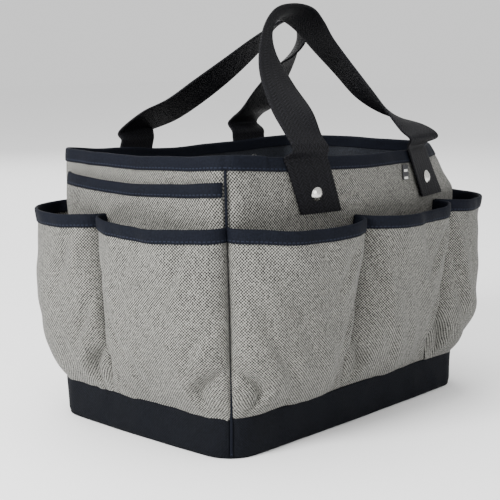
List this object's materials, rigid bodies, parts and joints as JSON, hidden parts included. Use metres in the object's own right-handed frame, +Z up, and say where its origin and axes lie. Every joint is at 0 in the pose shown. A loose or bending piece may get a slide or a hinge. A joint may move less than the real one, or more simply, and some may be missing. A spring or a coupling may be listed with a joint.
{
  "type": "garden tool bag",
  "caption": "Open-topped fabric garden tool tote with outer pockets all round, bound rims, a dark base band and two swinging webbing handles.",
  "frame": {"origin": "middle of the base, on the surface that the bag stands on", "axes": "+X along the long side, +Y along the short side from front to back, +Z up"},
  "size_m": [0.364, 0.28, 0.338],
  "materials": {
    "grey_cloth": "woven matt polyester",
    "black_cloth": "woven matt polyester",
    "lining_cloth": "smooth woven lining",
    "binding_tape": "ribbed binding tape",
    "webbing": "woven webbing",
    "board": "stiffener board",
    "nickel": "bright nickel",
    "label": "woven label"
  },
  "bodies": {
    "root": {"base_panel": "black_cloth", "base_board": "board", "lining_floor": "lining_cloth", "lining_front": "lining_cloth", "lining_right": "lining_cloth", "lining_back": "lining_cloth", "lining_left": "lining_cloth", "outer_panel_front_right": "grey_cloth", "outer_panel_back_left": "grey_cloth", "boot_front_right": "black_cloth", "boot_back_left": "black_cloth", "rim_tape": "binding_tape", "slip_pocket_left": "grey_cloth", "slip_pocket_tape_left": "binding_tape", "slip_pocket_right": "grey_cloth", "slip_pocket_tape_right": "binding_tape", "pocket_front_left": "grey_cloth", "pocket_tape_front_left": "binding_tape", "pocket_front_right": "grey_cloth", "pocket_tape_front_right": "binding_tape", "pocket_front_corner": "grey_cloth", "pocket_tape_front_corner": "binding_tape", "pocket_right": "grey_cloth", "pocket_tape_right": "binding_tape", "pocket_back_right": "grey_cloth", "pocket_tape_back_right": "binding_tape", "pocket_back_left": "grey_cloth", "pocket_tape_back_left": "binding_tape", "pocket_back_corner": "grey_cloth", "pocket_tape_back_corner": "binding_tape", "pocket_left": "grey_cloth", "pocket_tape_left": "binding_tape", "front_handle_feet": "webbing", "back_handle_feet": "webbing", "rivet_posts": "nickel", "rivet_caps": "nickel", "rivet_backs": "nickel", "side_label": "label"},
    "front_handle": {"front_handle_strap": "webbing"},
    "back_handle": {"back_handle_strap": "webbing"}
  },
  "joints": [
    {"name": "front_handle_hinge", "type": "hinge", "parent": "root", "child": "front_handle", "pos_m": [0, -0.1205, 0.2278], "axis": [1, 0, 0], "range_deg": [0, 160]},
    {"name": "back_handle_hinge", "type": "hinge", "parent": "root", "child": "back_handle", "pos_m": [0, 0.1125, 0.2278], "axis": [-1, 0, 0], "range_deg": [0, 160]}
  ]
}
